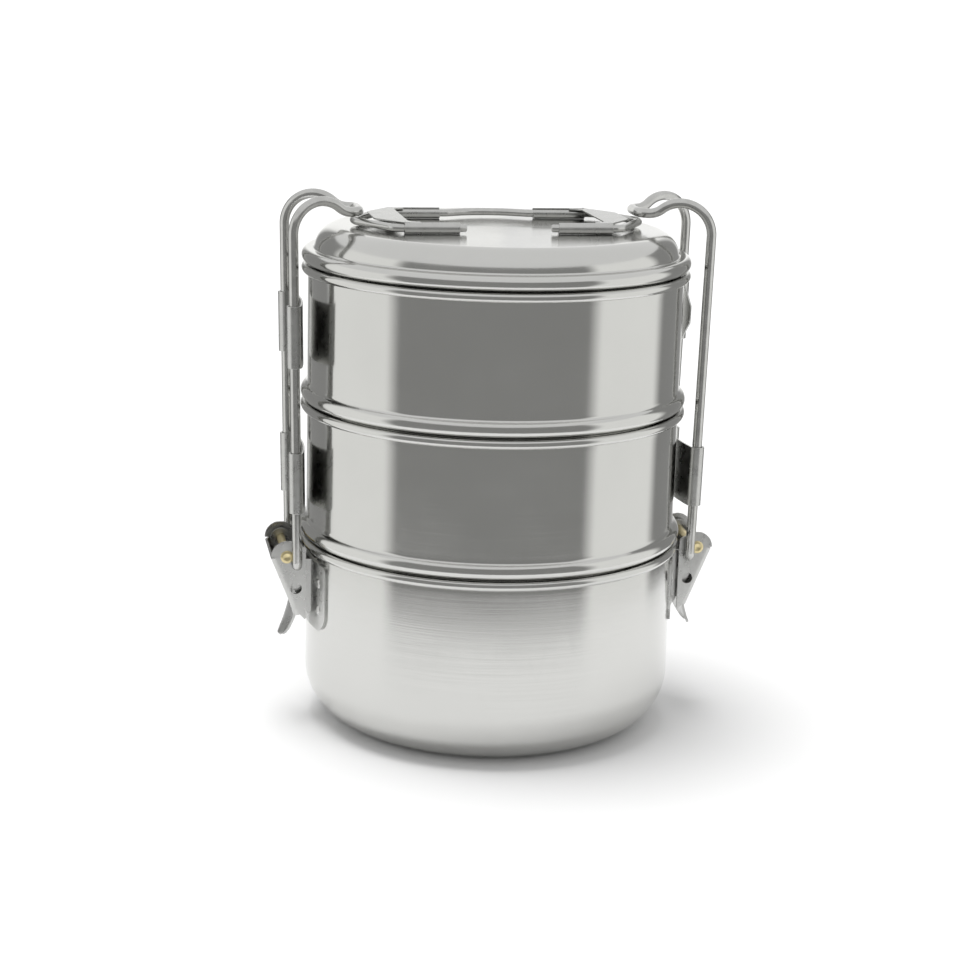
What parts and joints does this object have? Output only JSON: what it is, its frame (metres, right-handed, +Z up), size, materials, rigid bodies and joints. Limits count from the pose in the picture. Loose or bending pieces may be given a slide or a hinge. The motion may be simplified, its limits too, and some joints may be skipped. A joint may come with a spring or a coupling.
{
  "type": "tiffin carrier",
  "caption": "Stacking round steel food carrier: bowls under a domed lid, held shut by hinged wire arms with over-centre side levers, with a wire handle on the lid.",
  "frame": {"origin": "centre of the lowest bowl's flat underside", "axes": "+Z up through the stack, +X towards the right-hand lever, +Y away from the handle's open front, towards its bowed grip"},
  "size_m": [0.1686, 0.144, 0.1998],
  "materials": {
    "bowl_steel": "polished stainless steel, mirror-like with fine spun grain",
    "wire_steel": "bright drawn steel wire",
    "sheet_steel": "satin pressed steel sheet",
    "rivet_brass": "dull polished brass"
  },
  "bodies": {
    "base": {"base_bowl": "bowl_steel", "bracket_left": "sheet_steel", "bracket_right": "sheet_steel", "rivet_left": "rivet_brass", "rivet_right": "rivet_brass", "weld_studs": "sheet_steel", "lever_washers": "rivet_brass"},
    "lever_left": {"lever_left": "sheet_steel"},
    "lever_right": {"lever_right": "sheet_steel"},
    "arm_left": {"arm_left": "wire_steel", "clip_left_upper": "sheet_steel", "clip_left_lower": "sheet_steel"},
    "arm_right": {"arm_right": "wire_steel", "clip_right_upper": "sheet_steel", "clip_right_lower": "sheet_steel"},
    "middle": {"middle_bowl": "bowl_steel"},
    "top": {"top_bowl": "bowl_steel"},
    "lid": {"lid": "bowl_steel", "handle_plate_left": "sheet_steel", "handle_plate_right": "sheet_steel", "handle_wire": "wire_steel"}
  },
  "joints": [
    {"name": "lever_left_hinge", "type": "hinge", "parent": "base", "child": "lever_left", "pos_m": [-0.0784, 0, 0.067], "axis": [0, 1, 0], "range_deg": [0, 90]},
    {"name": "lever_right_hinge", "type": "hinge", "parent": "base", "child": "lever_right", "pos_m": [0.0784, 0, 0.067], "axis": [0, -1, 0], "range_deg": [0, 90]},
    {"name": "arm_left_hinge", "type": "hinge", "parent": "lever_left", "child": "arm_left", "pos_m": [-0.0748, 0, 0.0637], "axis": [0, -1, 0], "range_deg": [0, 144]},
    {"name": "arm_right_hinge", "type": "hinge", "parent": "lever_right", "child": "arm_right", "pos_m": [0.0748, 0, 0.0637], "axis": [0, 1, 0], "range_deg": [0, 144]},
    {"name": "middle_lift", "type": "slide", "parent": "base", "child": "middle", "axis": [0, 0, 1], "range_m": [0, 0.005]},
    {"name": "top_lift", "type": "slide", "parent": "base", "child": "top", "axis": [0, 0, 1], "range_m": [0, 0.01]},
    {"name": "lid_lift", "type": "slide", "parent": "base", "child": "lid", "axis": [0, 0, 1], "range_m": [0, 0.015]}
  ],
  "couplings": [
    {"joint": "lever_left_hinge", "follows": "lid_lift", "rad_per_m": 104.72},
    {"joint": "lever_right_hinge", "follows": "lid_lift", "rad_per_m": 104.72},
    {"joint": "arm_left_hinge", "follows": "lid_lift", "rad_per_m": 167.55},
    {"joint": "arm_right_hinge", "follows": "lid_lift", "rad_per_m": 167.55},
    {"joint": "middle_lift", "follows": "lid_lift", "ratio": 0.33333},
    {"joint": "top_lift", "follows": "lid_lift", "ratio": 0.66666}
  ]
}
